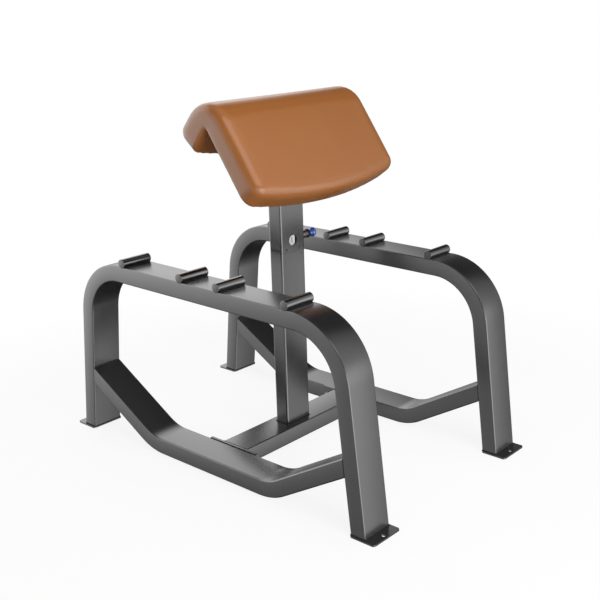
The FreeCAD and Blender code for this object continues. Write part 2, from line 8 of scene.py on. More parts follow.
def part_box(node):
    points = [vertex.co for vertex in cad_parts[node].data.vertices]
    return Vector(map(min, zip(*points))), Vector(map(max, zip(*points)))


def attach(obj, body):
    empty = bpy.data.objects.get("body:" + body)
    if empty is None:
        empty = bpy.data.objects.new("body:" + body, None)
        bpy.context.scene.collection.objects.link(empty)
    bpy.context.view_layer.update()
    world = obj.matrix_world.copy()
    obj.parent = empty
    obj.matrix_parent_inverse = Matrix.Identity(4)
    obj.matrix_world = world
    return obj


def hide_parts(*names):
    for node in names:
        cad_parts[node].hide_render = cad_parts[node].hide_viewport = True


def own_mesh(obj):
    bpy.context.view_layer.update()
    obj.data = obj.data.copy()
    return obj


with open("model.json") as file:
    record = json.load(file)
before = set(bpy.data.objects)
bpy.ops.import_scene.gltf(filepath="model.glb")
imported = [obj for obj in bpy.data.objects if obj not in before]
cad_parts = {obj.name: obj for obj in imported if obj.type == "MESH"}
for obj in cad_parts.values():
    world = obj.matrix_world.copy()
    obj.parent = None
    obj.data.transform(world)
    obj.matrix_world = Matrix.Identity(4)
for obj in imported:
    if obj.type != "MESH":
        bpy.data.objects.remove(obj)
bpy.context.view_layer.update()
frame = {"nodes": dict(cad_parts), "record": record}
nodes = frame["nodes"]
print("frame loaded:", len(nodes), "nodes")


# mesh helpers

xAxis = np.array([1.0, 0, 0])
yAxis = np.array([0, 1.0, 0])
zAxis = np.array([0, 0, 1.0])


def gridFaces(rows, columns):
    # quads between neighbouring rows and columns of a point grid, the last column joined to the first
    row = np.arange(rows - 1)[:, None]
    column = np.arange(columns)[None, :]
    following = (column + 1) % columns
    corners = [row * columns + column, row * columns + following,
               (row + 1) * columns + following, (row + 1) * columns + column]
    return np.stack(np.broadcast_arrays(*corners), -1).reshape(-1, 4).tolist()


def closedGrid(grid):
    # a grid of rings with a flat cap on each end
    rows, columns = grid.shape[:2]
    faces = gridFaces(rows, columns)
    ring = np.arange(columns)
    faces += [ring[::-1].tolist(), (ring + (rows - 1) * columns).tolist()]
    return outward(grid.reshape(-1, 3), faces)


def outward(points, faces):
    # the signed volume under all faces tells which way they point, and a negative one turns them round
    first = np.array([face[0] for face in faces for _ in face[2:]])
    second = np.array([corner for face in faces for corner in face[1:-1]])
    third = np.array([corner for face in faces for corner in face[2:]])
    volume = np.einsum("ij,ij->", points[first], np.cross(points[second], points[third]))
    if volume < 0:
        faces = [face[::-1] for face in faces]
    return points, faces


def joined(shapes):
    # several shapes as one list of points and faces, each shape's numbers moved past the ones before it
    start = np.cumsum([0] + [len(points) for points, faces in shapes])
    faces = [[corner + first for corner in face]
             for (points, shapeFaces), first in zip(shapes, start.tolist()) for face in shapeFaces]
    return np.concatenate([points for points, faces in shapes]), faces


def addPiece(name, shape, material, body, stands=(), crease=35):
    points, faces = shape
    mesh = bpy.data.meshes.new(name)
    mesh.from_pydata(points.tolist(), [], faces)
    mesh.shade_smooth()
    mesh.set_sharp_from_angle(angle=math.radians(crease))
    mesh.materials.append(material)
    piece = bpy.data.objects.new(name, mesh)
    bpy.context.scene.collection.objects.link(piece)
    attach(piece, body)
    if stands:
        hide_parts(*stands)
    return piece


def getPoints(mesh):
    points = np.empty(len(mesh.vertices) * 3, np.float32)
    mesh.vertices.foreach_get("co", points)
    return points.reshape(-1, 3).astype(float)


def roundedSection(width, depth, corner, steps=7):
    # rounded rectangle: a corner's centre plus its radius, turned a quarter at each of the four corners
    signs = np.array([[1, 1], [-1, 1], [-1, -1], [1, -1]])
    angle = np.arange(4)[:, None] * np.pi / 2 + np.linspace(0, np.pi / 2, steps + 1)
    centre = signs[:, None, :] * (np.array([width, depth]) / 2 - corner)
    return (centre + corner * np.stack([np.cos(angle), np.sin(angle)], -1)).reshape(-1, 2)


def sweep(path, across, upward, section):
    # section carried along a path: each path point plus the section's two sides along the directions there
    across = np.broadcast_to(across, path.shape)
    upward = np.broadcast_to(upward, path.shape)
    return path[:, None] + section[None, :, :1] * across[:, None] + section[None, :, 1:] * upward[:, None]


def bentPath(corners, radius, steps=28):
    # straight runs joined by arcs: an arc's centre lies a radius off both runs, its heading turns evenly
    corners = np.asarray(corners, float)
    runs = np.diff(corners, axis=0)
    runs /= np.linalg.norm(runs, axis=1)[:, None]
    points = [corners[:1]]
    headings = [runs[:1]]
    for corner, into, out in zip(corners[1:-1], runs[:-1], runs[1:]):
        side = np.array([-into[1], into[0]])
        turn = math.atan2(side @ out, into @ out)
        hand = math.copysign(1, turn)
        angle = np.linspace(0, turn, steps + 1)[:, None]
        heading = np.cos(angle) * into + np.sin(angle) * side
        centre = corner - into * radius * math.tan(abs(turn) / 2) + hand * radius * side
        points.append(centre + hand * radius * np.stack([heading[:, 1], -heading[:, 0]], -1))
        headings.append(heading)
    points.append(corners[-1:])
    headings.append(runs[-1:])
    return np.concatenate(points), np.concatenate(headings)


def bentTube(x, corners, radius, section, cuts):
    # tube along a bent path in the plane of y and z; each end ring slides along its run to a cut plane
    flat, heading = bentPath(corners, radius)
    zero = np.zeros(len(flat))
    path = np.column_stack([zero + x, flat])
    along = np.column_stack([zero, heading])
    normal = np.column_stack([zero, -heading[:, 1], heading[:, 0]])
    grid = sweep(path, xAxis, normal, section)
    for row, (point, facing) in zip((0, -1), cuts):
        slide = (np.asarray(point) - grid[row]) @ facing / (along[row] @ facing)
        grid[row] += slide[:, None] * along[row]
    return closedGrid(grid)


def turned(profile, origin, steps=64):
    # turned shape: a distance along x and a radius there, the radius swung full circle about that line
    profile = np.asarray(profile, float)
    angle = np.linspace(0, 2 * np.pi, steps, endpoint=False)
    spoke = np.cos(angle)[:, None] * yAxis + np.sin(angle)[:, None] * zAxis
    grid = np.asarray(origin) + profile[:, :1, None] * xAxis + profile[:, 1:, None] * spoke
    return closedGrid(grid)


def softRim(length, radius, rim, steps=4, rings=()):
    # outline of a rod, both rims rounded by a quarter circle, with more rings at distances from each end
    angle = np.linspace(0, np.pi / 2, steps + 1)
    rise = np.column_stack([rim - rim * np.cos(angle), radius - rim + rim * np.sin(angle)])
    rise = np.concatenate([rise, np.array([(ring, radius) for ring in rings]).reshape(-1, 2)])
    fall = np.column_stack([length - rise[::-1, 0], rise[::-1, 1]])
    return np.concatenate([rise, fall])


# shader helper: one socket, with sums written as plain arithmetic

class Value:
    def __init__(self, tree, socket=None):
        self.tree = tree
        self.socket = socket

    def add(self, kind, settings=None, sockets=None, out=0):
        made = self.tree.nodes.new(kind)
        for key, setting in (settings or {}).items():
            if key == "stops":
                ramp = made.color_ramp.elements
                for place, colour in setting[2:]:
                    ramp.new(place)
                for stop, (place, colour) in zip(ramp, sorted(setting)):
                    stop.position = place
                    stop.color = colour
            else:
                setattr(made, key, setting)
        for key, given in (sockets or {}).items():
            if isinstance(given, Value):
                self.tree.links.new(given.socket, made.inputs[key])
            else:
                made.inputs[key].default_value = given
        return Value(self.tree, made.outputs[out] if made.outputs else None)

    def maths(self, operation, first, second):
        return self.add("ShaderNodeMath", {"operation": operation}, {0: first, 1: second})

    def __add__(self, other):
        return self.maths("ADD", self, other)

    def __radd__(self, other):
        return self.maths("ADD", other, self)

    def __sub__(self, other):
        return self.maths("SUBTRACT", self, other)

    def __rsub__(self, other):
        return self.maths("SUBTRACT", other, self)

    def __mul__(self, other):
        return self.maths("MULTIPLY", self, other)

    def __rmul__(self, other):
        return self.maths("MULTIPLY", other, self)

    def place(self, scale=(1, 1, 1)):
        here = self.add("ShaderNodeTexCoord", out="Object")
        return self.add("ShaderNodeMapping", None, {"Vector": here, "Scale": scale})

    def noise(self, scale, detail=2.0, stretch=(1, 1, 1)):
        return self.add("ShaderNodeTexNoise", None,
                        {"Vector": self.place(stretch), "Scale": scale, "Detail": detail})

    def cells(self, scale, smooth):
        return self.add("ShaderNodeTexVoronoi", {"feature": "SMOOTH_F1"},
                        {"Vector": self.place(), "Scale": scale, "Smoothness": smooth})

    def mixed(self, share, first, second):
        return self.add("ShaderNodeMix", {"data_type": "RGBA"}, {0: share, 6: first, 7: second}, 2)

    def ramp(self, share, stops):
        return self.add("ShaderNodeValToRGB", {"stops": stops}, {0: share})

    def relief(self, height, strength, distance):
        return self.add("ShaderNodeBump", None,
                        {"Height": height, "Strength": strength, "Distance": distance})


def newFinish(name):
    material = bpy.data.materials.new(name)
    material.use_nodes = True
    material.node_tree.nodes.clear()
    return material, Value(material.node_tree)


def surface(shade, **sockets):
    named = {key.replace("_", " "): given for key, given in sockets.items()}
    bsdf = shade.add("ShaderNodeBsdfPrincipled", None, named)
    shade.add("ShaderNodeOutputMaterial", None, {"Surface": bsdf})


def grey(level, warmth=0.0):
    return (level * (1 + warmth), level, level * (1 - warmth), 1)


# finishes

frameLook = {"dark": 0.172, "light": 0.206, "metal": 0.95, "rough": 0.22,
             "flake": 1400, "cloud": 9, "flakeTone": 0.6, "cloudTone": 0.4,
             "flakeRough": 0.03, "cloudRough": 0.05, "peel": 420, "relief": 0.05, "depth": 0.0004}
# the window's cut wall gets a near-black painted shade and a rougher finish
windowLook = {"height": 0.639, "radius": 0.016, "margin": 0.0002, "paintedShade": 0.010, "rough": 0.3}


def frameCoat(name, window=None):
    material, shade = newFinish(name)
    flake = shade.noise(frameLook["flake"], detail=1.0)
    cloud = shade.noise(frameLook["cloud"], detail=3.0)
    tone = flake * frameLook["flakeTone"] + cloud * frameLook["cloudTone"]
    colour = shade.mixed(tone, grey(frameLook["dark"]), grey(frameLook["light"]))
    rough = frameLook["rough"] + frameLook["cloudRough"] * cloud + frameLook["flakeRough"] * flake
    if window:
        # painted shade on the cut wall: near-black colour, standing in for the wall's shade, on all points of
        # the front half nearer to the window's axis than its edge
        flat = shade.add("ShaderNodeVectorMath", {"operation": "MULTIPLY_ADD"},
                         {0: shade.place(), 1: (1, 0, 1), 2: (0, 0, -window["height"])})
        away = shade.add("ShaderNodeVectorMath", {"operation": "LENGTH"}, {0: flat}, "Value")
        depth = shade.add("ShaderNodeSeparateXYZ", None, {0: shade.place()}, 1)
        inside = shade.maths("LESS_THAN", away, window["radius"] + window["margin"])
        shadedWall = inside * shade.maths("LESS_THAN", depth, 0)
        colour = shade.mixed(shadedWall, colour, grey(window["paintedShade"]))
        rough = rough + window["rough"] * shadedWall
    peel = shade.noise(frameLook["peel"], detail=1.0)
    surface(shade, Base_Color=colour, Metallic=frameLook["metal"], Roughness=rough,
            Normal=shade.relief(peel, frameLook["relief"], frameLook["depth"]))
    return material


weldLook = {"dark": 0.05, "light": 0.08, "scale": 700, "rough": 0.48, "vary": 0.12,
            "relief": 0.10, "depth": 0.0004}


def weldCoat():
    material, shade = newFinish("weldCoat")
    scale = shade.noise(weldLook["scale"], detail=3.0)
    colour = shade.mixed(scale, grey(weldLook["dark"]), grey(weldLook["light"]))
    surface(shade, Base_Color=colour, Metallic=frameLook["metal"],
            Roughness=weldLook["rough"] + weldLook["vary"] * scale,
            Normal=shade.relief(scale, weldLook["relief"], weldLook["depth"]))
    return material


stopLook = {"dark": 0.24, "light": 0.30, "end": 0.165, "middle": 0.311, "half": 0.0496, "rough": 0.17,
            "scuff": 60, "stretch": (0.15, 1, 1), "scuffRough": 0.08, "endRough": 0.14,
            "grain": 300, "relief": 0.04, "depth": 0.0004}


def stopCoat():
    # the two flat ends, further from the stop's middle than its half, are duller than the barrel
    material, shade = newFinish("stopCoat")
    scuff = shade.noise(stopLook["scuff"], detail=4.0, stretch=stopLook["stretch"])
    across = shade.add("ShaderNodeSeparateXYZ", None, {0: shade.place()}, 0)
    offset = shade.maths("ABSOLUTE", shade.maths("ABSOLUTE", across, 0) - stopLook["middle"], 0)
    sawn = shade.maths("GREATER_THAN", offset, stopLook["half"])
    barrel = shade.mixed(scuff, grey(stopLook["dark"]), grey(stopLook["light"]))
    colour = shade.mixed(sawn, barrel, grey(stopLook["end"]))
    rough = stopLook["rough"] + stopLook["scuffRough"] * scuff + stopLook["endRough"] * sawn
    grain = shade.noise(stopLook["grain"], detail=1.0)
    surface(shade, Base_Color=colour, Metallic=1.0, Roughness=rough,
            Normal=shade.relief(grain, stopLook["relief"], stopLook["depth"]))
    return material


steelLook = {"grain": 180, "warmth": 0.01, "vary": 0.12, "relief": 0.03, "depth": 0.0003}


def brightSteel(name, dark, light, rough, stretch=(1, 1, 1)):
    material, shade = newFinish(name)
    grain = shade.noise(steelLook["grain"], detail=3.0, stretch=stretch)
    colour = shade.mixed(grain, grey(dark, steelLook["warmth"]), grey(light, steelLook["warmth"]))
    surface(shade, Base_Color=colour, Metallic=1.0, Roughness=rough + steelLook["vary"] * grain,
            Normal=shade.relief(grain, steelLook["relief"], steelLook["depth"]))
    return material


plasticLook = {"texture": 700, "cloud": 40, "vary": 0.06, "relief": 0.05, "depth": 0.0003}


def mouldedPlastic(name, dark, light, rough, gloss=0.5, metal=0.0):
    material, shade = newFinish(name)
    texture = shade.noise(plasticLook["texture"])
    cloud = shade.noise(plasticLook["cloud"], detail=3.0)
    surface(shade, Base_Color=shade.mixed(cloud, dark, light), Metallic=metal,
            Roughness=rough + plasticLook["vary"] * texture, Specular_IOR_Level=gloss,
            Normal=shade.relief(texture, plasticLook["relief"], plasticLook["depth"]))
    return material


vinylLook = {"deep": (0.328, 0.112, 0.0280, 1), "pale": (0.378, 0.139, 0.0360, 1), "rough": 0.17,
             "grain": 900, "smooth": 0.4, "fine": 2600, "cloud": 7, "grainTone": 0.45, "cloudTone": 0.7,
             "fineRough": 0.05, "cloudRough": 0.06, "grainHeight": 0.7, "fineHeight": 0.3,
             "relief": 0.16, "depth": 0.0004}


def padVinyl():
    material, shade = newFinish("padVinyl")
    grain = shade.cells(vinylLook["grain"], vinylLook["smooth"])
    fine = shade.noise(vinylLook["fine"])
    cloud = shade.noise(vinylLook["cloud"], detail=3.0)
    tone = cloud * vinylLook["cloudTone"] + grain * vinylLook["grainTone"]
    colour = shade.mixed(tone, vinylLook["deep"], vinylLook["pale"])
    rough = vinylLook["rough"] + vinylLook["cloudRough"] * cloud + vinylLook["fineRough"] * fine
    height = grain * vinylLook["grainHeight"] + fine * vinylLook["fineHeight"]
    surface(shade, Base_Color=colour, Roughness=rough, Specular_IOR_Level=1.0,
            Normal=shade.relief(height, vinylLook["relief"], vinylLook["depth"]))
    return material


plyLook = {"early": (0.60, 0.43, 0.26, 1), "late": (0.42, 0.27, 0.14, 1), "rough": 0.62,
           "figure": 22, "figureStretch": (0.12, 1, 1), "pores": 260, "poreStretch": (0.06, 1, 1),
           "figureTone": 0.8, "poreTone": 0.2, "poreRough": 0.15, "relief": 0.12, "depth": 0.0005}


def plywoodFace():
    material, shade = newFinish("plywoodFace")
    figure = shade.noise(plyLook["figure"], detail=5.0, stretch=plyLook["figureStretch"])
    pores = shade.noise(plyLook["pores"], stretch=plyLook["poreStretch"])
    tone = figure * plyLook["figureTone"] + pores * plyLook["poreTone"]
    surface(shade, Base_Color=shade.mixed(tone, plyLook["early"], plyLook["late"]),
            Roughness=plyLook["rough"] + plyLook["poreRough"] * pores,
            Normal=shade.relief(pores, plyLook["relief"], plyLook["depth"]))
    return material


stripLook = {"dark": 0.60, "light": 0.68, "warmth": 0.01, "fibre": 500, "rough": 0.45, "vary": 0.1}


def printedStrip():
    material, shade = newFinish("printedStrip")
    fibre = shade.noise(stripLook["fibre"])
    dark = grey(stripLook["dark"], stripLook["warmth"])
    light = grey(stripLook["light"], stripLook["warmth"])
    surface(shade, Base_Color=shade.mixed(fibre, dark, light),
            Roughness=stripLook["rough"] + stripLook["vary"] * fibre)
    return material


coat = frameCoat("frameCoat")
sleeveCoat = frameCoat("sleeveCoat", windowLook)
weldPaint = weldCoat()
stopBlack = stopCoat()
zinc = brightSteel("zincSteel", dark=0.42, light=0.56, rough=0.30)
springWire = brightSteel("springWire", dark=0.38, light=0.50, rough=0.22)
platedTube = brightSteel("platedTube", dark=0.58, light=0.70, rough=0.14, stretch=(1, 1, 0.08))
barrelSteel = brightSteel("barrelSteel", dark=0.20, light=0.27, rough=0.26, stretch=(0.2, 1, 1))
nylon = mouldedPlastic("blackNylon", dark=grey(0.008), light=grey(0.014), rough=0.42, gloss=0.25)
bushNylon = mouldedPlastic("bushNylon", dark=grey(0.030), light=grey(0.045), rough=0.38)
blueKnob = mouldedPlastic("blueKnob", dark=(0.10, 0.19, 0.62, 1), light=(0.13, 0.23, 0.70, 1),
                          rough=0.16, gloss=1.0, metal=0.7)
ink = mouldedPlastic("numberInk", dark=grey(0.012), light=grey(0.02), rough=0.5)
vinyl = padVinyl()
plywood = plywoodFace()
strip = printedStrip()

finishOf = {"frame_paint": coat, "stop_paint": stopBlack, "zinc_steel": zinc, "spring_steel": springWire,
            "plated_tube": platedTube, "white_strip": strip, "black_plastic": nylon,
            "blue_plastic": blueKnob, "pad_vinyl": vinyl, "foam": vinyl, "plywood": plywood}
ownFinish = {"upper_sleeve": sleeveCoat, "lower_guide_bush": bushNylon}
print("finishes made:", len(bpy.data.materials))

for part in frame["record"]["subparts"]:
    mesh = nodes[part["node"]].data
    mesh.materials.clear()
    mesh.materials.append(ownFinish.get(part["node"], finishOf[part["material_slot"]]))


# side arches, lower braces and the straight tubes of the frame

tubeSize = {"depth": 0.050, "corner": 0.004, "bend": 0.165, "splay": math.radians(6.5)}
braceSize = {"flat": 0.250, "slope": math.radians(30)}
leanTan = math.tan(tubeSize["splay"])
legDepth = tubeSize["depth"] / math.cos(tubeSize["splay"])
archLow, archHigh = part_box("left_arch")
tubeWidth = archHigh.x - archLow.x
footTop = archLow.z
archTop = archHigh.z
section = roundedSection(tubeWidth, tubeSize["depth"], tubeSize["corner"])


def legOuter(z):
    return archHigh.y - (z - footTop) * leanTan


def legMiddle(z):
    return legOuter(z) - legDepth / 2


def legInner(z):
    return legOuter(z) - legDepth


def middleX(node):
    low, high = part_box(node)
    return (low.x + high.x) / 2


def sideArch(side):
    axisTop = archTop - tubeSize["depth"] / 2
    corners = [(-legMiddle(0), 0), (-legMiddle(axisTop), axisTop),
               (legMiddle(axisTop), axisTop), (legMiddle(0), 0)]
    floorCut = ((0, 0, footTop), zAxis)
    shape = bentTube(middleX(side + "_arch"), corners, tubeSize["bend"], section, (floorCut, floorCut))
    return addPiece(side + "Arch", shape, coat, "frame", [side + "_arch"])


def lowerBrace(side):
    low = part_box(side + "_brace")[0]
    axis = low.z + tubeSize["depth"] / 2
    reach = legMiddle(0)
    high = axis + (reach - braceSize["flat"]) * math.tan(braceSize["slope"])
    corners = [(-reach, high), (-braceSize["flat"], axis), (braceSize["flat"], axis), (reach, high)]
    front = ((0, -legInner(0), 0), np.array([0, 1, -leanTan]))
    rear = ((0, legInner(0), 0), np.array([0, 1, leanTan]))
    shape = bentTube(middleX(side + "_brace"), corners, tubeSize["bend"], section, (front, rear))
    return addPiece(side + "Brace", shape, coat, "frame", [side + "_brace"])


def crossTube():
    low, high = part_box("cross_tube")
    middle = (low.z + high.z) / 2
    path = np.array([(low.x, 0, middle), (high.x, 0, middle)])
    shape = closedGrid(sweep(path, yAxis, zAxis, section))
    return addPiece("crossTube", shape, coat, "frame", ["cross_tube"])


for side in ("left", "right"):
    sideArch(side)
    lowerBrace(side)
crossTube()
print("frame tubes made")


# bar stops

stopSize = {"rim": 0.0012, "rings": (0.002, 0.003, 0.004, 0.005, 0.006, 0.0075)}


def barStop(side, number):
    node = "%s_bar_stop_%d" % (side, number)
    low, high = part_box(node)
    radius = (high.y - low.y) / 2
    axis = (low.x, (low.y + high.y) / 2, high.z - radius)
    outline = softRim(high.x - low.x, radius, stopSize["rim"], rings=stopSize["rings"])
    points, faces = turned(outline, axis)
    # seat: flat on the arch, then down along the tube's rounded corner near both ends
    corner = tubeSize["corner"]
    over = np.clip(np.abs(points[:, 0] - middleX(side + "_arch")) - tubeWidth / 2 + corner, 0, corner)
    seat = low.z - corner + np.sqrt(corner ** 2 - over ** 2)
    points[:, 2] = np.maximum(points[:, 2], seat)
    name = "%sBarStop%d" % (side, number)
    return addPiece(name, (points, faces), stopBlack, "frame", [node])


for side in ("left", "right"):
    for number in (1, 2, 3, 4):
        barStop(side, number)
print("bar stops made")


# weld beads along the seams

weldSize = {"leg": 0.0022, "tube": 0.0024, "stop": 0.0012, "pin": 0.0014, "ripple": 0.18, "pitch": 0.0035,
            "braceEnd": 0.006, "stopEnd": 0.008}


def weldBead(path, facing, radius, closed=False, perRipple=3, fewest=8, sides=8):
    # bead of weld: a small circle carried along the seam, its radius rising and falling once a ripple
    path = np.asarray(path, float)
    if closed:
        path = np.concatenate([path, path[:1]])
    length = np.concatenate([[0], np.cumsum(np.linalg.norm(np.diff(path, axis=0), axis=1))])
    count = max(fewest, int(length[-1] / weldSize["pitch"] * perRipple))
    stations = np.linspace(0, length[-1], count)
    path = np.column_stack([np.interp(stations, length, path[:, i]) for i in range(3)])
    heading = np.gradient(path, axis=0)
    heading /= np.linalg.norm(heading, axis=1)[:, None]
    facing = np.asarray(facing, float)
    side = np.cross(heading, facing)
    swell = radius * (1 + weldSize["ripple"] * np.cos(2 * np.pi * stations / weldSize["pitch"]))
    angle = np.linspace(0, 2 * np.pi, sides, endpoint=False)
    ring = np.cos(angle)[:, None] * facing + np.sin(angle)[None, :, None] * side[:, None]
    return closedGrid(path[:, None] + swell[:, None, None] * ring)


def ringAt(centre, across, upward, outline):
    return sweep(np.array([centre], float), across, upward, outline)[0]


def frameWelds():
    beads = []
    footRing = roundedSection(tubeWidth, legDepth, tubeSize["corner"])
    for side in ("left", "right"):
        x = middleX(side + "_arch")
        for end in (-1, 1):
            ring = ringAt((x, end * legMiddle(footTop), footTop), xAxis, yAxis, footRing)
            beads.append(weldBead(ring, zAxis, weldSize["leg"], closed=True))
        low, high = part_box(side + "_brace")
        for end in (-1, 1):
            y = end * legInner(high.z)
            line = [(low.x + weldSize["braceEnd"], y, high.z), (high.x - weldSize["braceEnd"], y, high.z)]
            beads.append(weldBead(line, (0, -end, 0), weldSize["tube"]))
        for number in (1, 2, 3, 4):
            stopLow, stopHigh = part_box("%s_bar_stop_%d" % (side, number))
            middle = (stopLow.y + stopHigh.y) / 2
            radius = (stopHigh.y - stopLow.y) / 2
            seat = math.sqrt(radius ** 2 - (stopHigh.z - radius - stopLow.z) ** 2)
            for edge in (-1, 1):
                y = middle + edge * (seat + weldSize["stop"] / 2)
                line = [(stopLow.x + weldSize["stopEnd"], y, archTop),
                        (stopHigh.x - weldSize["stopEnd"], y, archTop)]
                beads.append(weldBead(line, zAxis, weldSize["stop"]))
    low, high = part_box("cross_tube")
    for x in (low.x, high.x):
        ring = ringAt((x, 0, (low.z + high.z) / 2), yAxis, zAxis, section)
        beads.append(weldBead(ring, xAxis, weldSize["tube"], closed=True))
    ring = ringAt((0, 0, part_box("lower_post")[0].z), xAxis, yAxis, section)
    beads.append(weldBead(ring, zAxis, weldSize["tube"], closed=True))
    return addPiece("frameWelds", joined(beads), weldPaint, "frame")


def housingWeld(steps=48):
    low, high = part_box("pin_housing")
    middle = (low.z + high.z) / 2
    radius = (high.z - low.z) / 2
    turn = np.linspace(0, 2 * np.pi, steps, endpoint=False)
    ring = np.column_stack([np.full(steps, low.x), radius * np.cos(turn), middle + radius * np.sin(turn)])
    bead = weldBead(ring, xAxis, weldSize["pin"], closed=True)
    return addPiece("housingWeld", bead, weldPaint, "pad_carriage")


frameWelds()
housingWeld()
print("welds made")


# pull pin

pinSize = {"barrelRim": 0.0010, "capRim": 0.0020}
knobSize = {"neck": 0.007, "neckLength": 0.004, "lip": 0.0008, "ball": 0.015, "dome": 0.012, "flare": 1.5,
            "tip": 0.02}


def knobOutline(length, flareSteps=14, domeSteps=18):
    # distances along the pin and radii there: a neck, a flare that rises like a power of a sine, and a
    # quarter of an ellipse as the dome, which stops just short of the tip
    neck = knobSize["neck"]
    start = knobSize["neckLength"]
    domeStart = length - knobSize["dome"]
    flare = np.linspace(0, 1, flareSteps)
    flareRadius = neck + (knobSize["ball"] - neck) * np.sin(flare * np.pi / 2) ** knobSize["flare"]
    turn = np.linspace(np.pi / 2, knobSize["tip"], domeSteps)[1:]
    dome = [domeStart + knobSize["dome"] * np.cos(turn), knobSize["ball"] * np.sin(turn)]
    return np.concatenate([[(0, neck - knobSize["lip"]), (knobSize["lip"], neck)],
                           np.column_stack([start + flare * (domeStart - start), flareRadius]),
                           np.column_stack(dome)])


def pinPieces():
    low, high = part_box("pin_housing")
    middle = (low.z + high.z) / 2
    outline = softRim(high.x - low.x, (high.z - low.z) / 2, pinSize["barrelRim"])
    barrel = turned(outline, (low.x, 0, middle))
    addPiece("pinBarrel", barrel, barrelSteel, "pad_carriage", ["pin_housing"])
    low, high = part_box("pin_cap")
    outline = softRim(high.x - low.x, (high.z - low.z) / 2, pinSize["capRim"])
    cap = turned(outline, (low.x, 0, middle))
    addPiece("pinCap", cap, nylon, "pad_carriage", ["pin_cap"])
    low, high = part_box("pin_knob")
    knob = turned(knobOutline(high.x - low.x), (low.x, 0, middle))
    addPiece("pinKnob", knob, blueKnob, "pull_pin", ["pin_knob"])


springSize = {"wire": 0.0016, "turns": 4, "travel": 0.012}


def pinSpring(turnSteps=40, wireSteps=10):
    # coil spring: a small circle carried round the pin's axis while it moves along it
    low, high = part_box("pin_spring")
    middle = (low.z + high.z) / 2
    half = springSize["wire"] / 2
    turn = np.linspace(0, 2 * np.pi * springSize["turns"], turnSteps * springSize["turns"] + 1)[:, None]
    along = np.linspace(low.x + half, high.x - half, len(turn))[:, None]
    angle = np.linspace(0, 2 * np.pi, wireSteps, endpoint=False)
    reach = (high.z - low.z) / 2 - half + half * np.cos(angle)
    grid = np.stack([along + half * np.sin(angle), reach * np.cos(turn), middle + reach * np.sin(turn)], -1)
    shape = closedGrid(grid)
    spring = addPiece("pinSpring", shape, springWire, "pad_carriage", ["pin_spring"])
    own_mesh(spring)


pinPieces()
pinSpring()
print("pull pin made")


# numbers on the strip

numberSize = {"size": 0.021, "bold": 0.0005, "proud": 0.00012, "pitch": 0.020, "count": 7}


def stripNumbers():
    low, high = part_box("number_strip")
    pinLow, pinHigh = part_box("pin_plunger")
    first = (pinLow.z + pinHigh.z) / 2
    shapes = []
    for step in range(numberSize["count"]):
        words = bpy.data.curves.new("stripNumber", "FONT")
        words.body = str(step + 1)
        words.size = numberSize["size"]
        words.offset = numberSize["bold"]
        words.align_x = "CENTER"
        words.align_y = "CENTER"
        writer = bpy.data.objects.new("stripNumber", words)
        bpy.context.scene.collection.objects.link(writer)
        flat = bpy.data.meshes.new_from_object(writer.evaluated_get(bpy.context.evaluated_depsgraph_get()))
        points = getPoints(flat)
        upright = np.column_stack([points[:, 0], np.full(len(points), low.y - numberSize["proud"]),
                                   points[:, 1] + first + step * numberSize["pitch"]])
        shapes.append((upright, [list(face.vertices) for face in flat.polygons]))
        bpy.data.objects.remove(writer)
        bpy.data.meshes.remove(flat)
    return addPiece("stripNumbers", joined(shapes), ink, "frame")


stripNumbers()
print("numbers made")


# upholstered pad

padSize = {"width": 0.582, "thick": 0.078, "apexY": 0.0085, "apexZ": 0.9975,
           "frontSlope": math.radians(55), "rearSlope": math.radians(50),
           "front": 0.239, "frontBow": 0.033, "frontCrown": 0.005,
           "rear": 0.091, "rearBow": 0.042, "rearCrown": 0.002,
           "ridge": 0.094, "edge": 0.028, "under": 0.004, "endEdge": 0.006, "endUnder": 0.004, "fold": 0.006}
padSoft = {"start": -0.0006, "base": 0.0003, "voxel": 0.0050, "pressure": 4.0,
           "stretch": 150, "shear": 60, "bend": 10, "frames": 20,
           "swell": 0.0009, "evened": 12, "held": 0.003}
padApex = np.array([padSize["apexY"], padSize["apexZ"]])


def slopeAxes(slope):
    # directions in y and z down a slope and out of it
    hand = -1 if slope == "front" else 1
    angle = padSize[slope + "Slope"]
    down = np.array([hand * math.cos(angle), -math.sin(angle)])
    out = np.array([hand * math.sin(angle), math.cos(angle)])
    return down, out


def onSlope(slope, distance, height):
    # the apex plus a distance down the slope and a height out of it
    down, out = slopeAxes(slope)
    return padApex + np.asarray(distance)[..., None] * down + np.asarray(height)[..., None] * out


def padMeeting(height):
    # point where both slopes, raised by a height, meet
    half = (padSize["frontSlope"] + padSize["rearSlope"]) / 2
    tilt = (padSize["frontSlope"] - padSize["rearSlope"]) / 2
    reach = np.asarray(height)[..., None] / math.cos(half)
    return padApex + reach * np.array([-math.sin(tilt), math.cos(tilt)])


